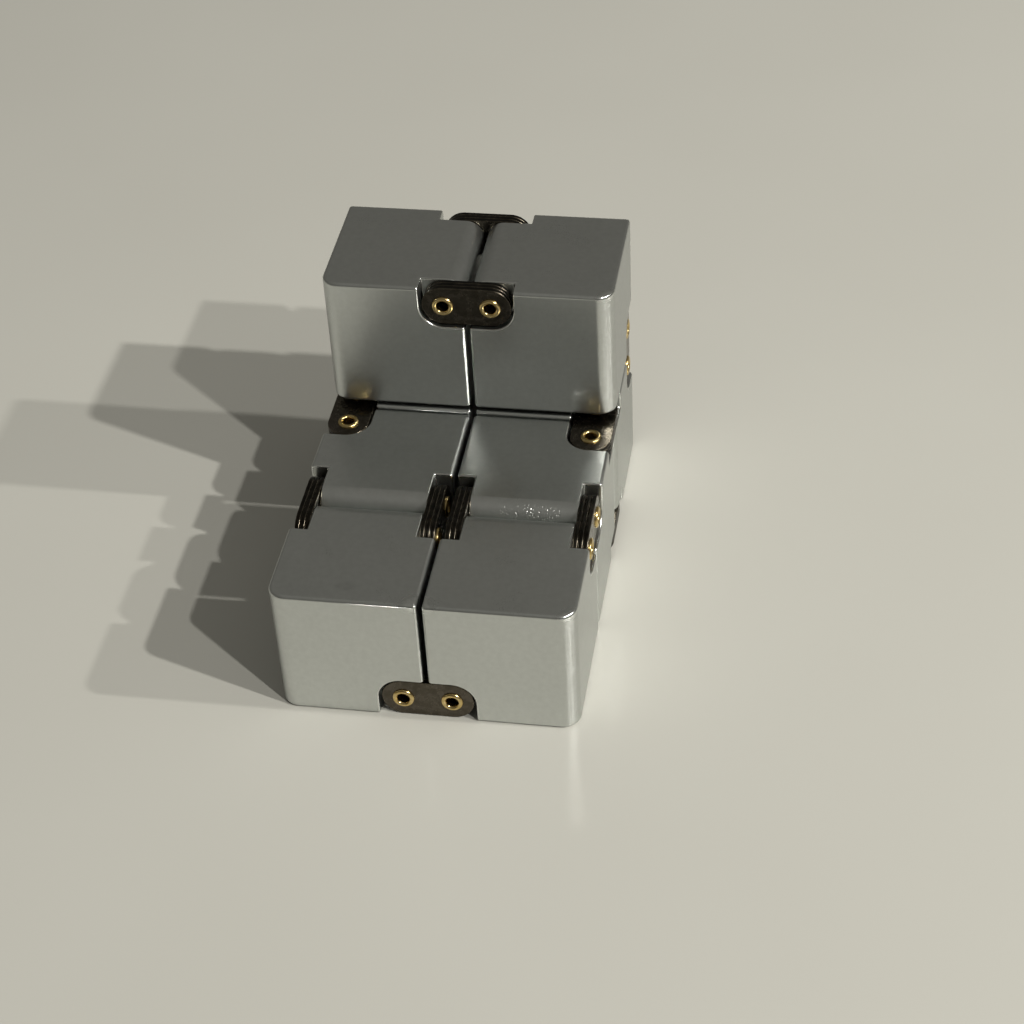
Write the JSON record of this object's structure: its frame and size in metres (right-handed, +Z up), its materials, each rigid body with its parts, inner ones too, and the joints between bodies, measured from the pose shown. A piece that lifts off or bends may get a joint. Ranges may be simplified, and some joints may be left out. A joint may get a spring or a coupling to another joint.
{
  "type": "folding fidget cube",
  "caption": "Hand-sized folding fidget toy: a ring of hollow satin metal cubes joined by double-pivot riveted links, shown part folded in steps.",
  "frame": {"origin": "middle of the footprint, on the surface it stands on", "axes": "+X to the right across the two columns, +Y from the low front pair to the stacked rear pair, +Z up"},
  "size_m": [0.0394, 0.0594, 0.0394],
  "materials": {
    "cube_shell": "satin, fine blasted and anodised",
    "cap_plate": "satin",
    "link_plate": "blackened steel, satin",
    "rivet": "polished",
    "washer": "plain"
  },
  "bodies": {
    "base": {"left_middle_cube": "cube_shell", "left_middle_cap": "cap_plate", "left_rear_cube": "cube_shell", "left_rear_cap": "cap_plate", "left_side_upper_link": "link_plate", "left_side_upper_rivets": "rivet", "left_side_lower_link": "link_plate", "left_side_lower_rivets": "rivet", "left_side_washers": "washer", "right_middle_cube": "cube_shell", "right_middle_cap": "cap_plate", "right_rear_cube": "cube_shell", "right_rear_cap": "cap_plate", "right_side_upper_link": "link_plate", "right_side_upper_rivets": "rivet", "right_side_lower_link": "link_plate", "right_side_lower_rivets": "rivet", "right_side_washers": "washer"},
    "left_fold_links": {"left_fold_outer_link": "link_plate", "left_fold_outer_rivets": "rivet", "left_fold_inner_link": "link_plate", "left_fold_inner_rivets": "rivet", "left_fold_washers": "washer"},
    "left_front": {"left_front_cube": "cube_shell", "left_front_cap": "cap_plate", "front_hinge_front_link": "link_plate", "front_hinge_front_rivets": "rivet", "front_hinge_rear_link": "link_plate", "front_hinge_rear_rivets": "rivet", "front_hinge_washers": "washer"},
    "left_back_links": {"left_back_outer_link": "link_plate", "left_back_outer_rivets": "rivet", "left_back_inner_link": "link_plate", "left_back_inner_rivets": "rivet", "left_back_washers": "washer"},
    "left_top": {"left_top_cube": "cube_shell", "left_top_cap": "cap_plate", "top_hinge_front_link": "link_plate", "top_hinge_front_rivets": "rivet", "top_hinge_rear_link": "link_plate", "top_hinge_rear_rivets": "rivet", "top_hinge_washers": "washer"},
    "right_fold_links": {"right_fold_outer_link": "link_plate", "right_fold_outer_rivets": "rivet", "right_fold_inner_link": "link_plate", "right_fold_inner_rivets": "rivet", "right_fold_washers": "washer"},
    "right_front": {"right_front_cube": "cube_shell", "right_front_cap": "cap_plate"},
    "right_back_links": {"right_back_outer_link": "link_plate", "right_back_outer_rivets": "rivet", "right_back_inner_link": "link_plate", "right_back_inner_rivets": "rivet", "right_back_washers": "washer"},
    "right_top": {"right_top_cube": "cube_shell", "right_top_cap": "cap_plate"}
  },
  "joints": [
    {"name": "front_fold", "type": "hinge", "parent": "base", "child": "left_fold_links", "pos_m": [-0.01, -0.0068, 0.0165], "axis": [-1, 0, 0], "range_deg": [0, 90]},
    {"name": "left_front_cube_fold", "type": "hinge", "parent": "left_fold_links", "child": "left_front", "pos_m": [-0.01, -0.0132, 0.0165], "axis": [-1, 0, 0], "range_deg": [0, 90]},
    {"name": "top_fold", "type": "hinge", "parent": "base", "child": "left_back_links", "pos_m": [-0.01, 0.0268, 0.0165], "axis": [-1, 0, 0], "range_deg": [0, 90]},
    {"name": "left_top_cube_fold", "type": "hinge", "parent": "left_back_links", "child": "left_top", "pos_m": [-0.01, 0.0268, 0.0229], "axis": [-1, 0, 0], "range_deg": [0, 90]},
    {"name": "right_front_links_fold", "type": "hinge", "parent": "base", "child": "right_fold_links", "pos_m": [0.01, -0.0068, 0.0165], "axis": [-1, 0, 0], "range_deg": [0, 90]},
    {"name": "right_front_cube_fold", "type": "hinge", "parent": "right_fold_links", "child": "right_front", "pos_m": [0.01, -0.0132, 0.0165], "axis": [-1, 0, 0], "range_deg": [0, 90]},
    {"name": "right_top_links_fold", "type": "hinge", "parent": "base", "child": "right_back_links", "pos_m": [0.01, 0.0268, 0.0165], "axis": [-1, 0, 0], "range_deg": [0, 90]},
    {"name": "right_top_cube_fold", "type": "hinge", "parent": "right_back_links", "child": "right_top", "pos_m": [0.01, 0.0268, 0.0229], "axis": [-1, 0, 0], "range_deg": [0, 90]}
  ],
  "couplings": [
    {"joint": "left_front_cube_fold", "follows": "front_fold", "ratio": 1},
    {"joint": "left_top_cube_fold", "follows": "top_fold", "ratio": 1},
    {"joint": "right_front_links_fold", "follows": "front_fold", "ratio": 1},
    {"joint": "right_front_cube_fold", "follows": "front_fold", "ratio": 1},
    {"joint": "right_top_links_fold", "follows": "top_fold", "ratio": 1},
    {"joint": "right_top_cube_fold", "follows": "top_fold", "ratio": 1}
  ]
}
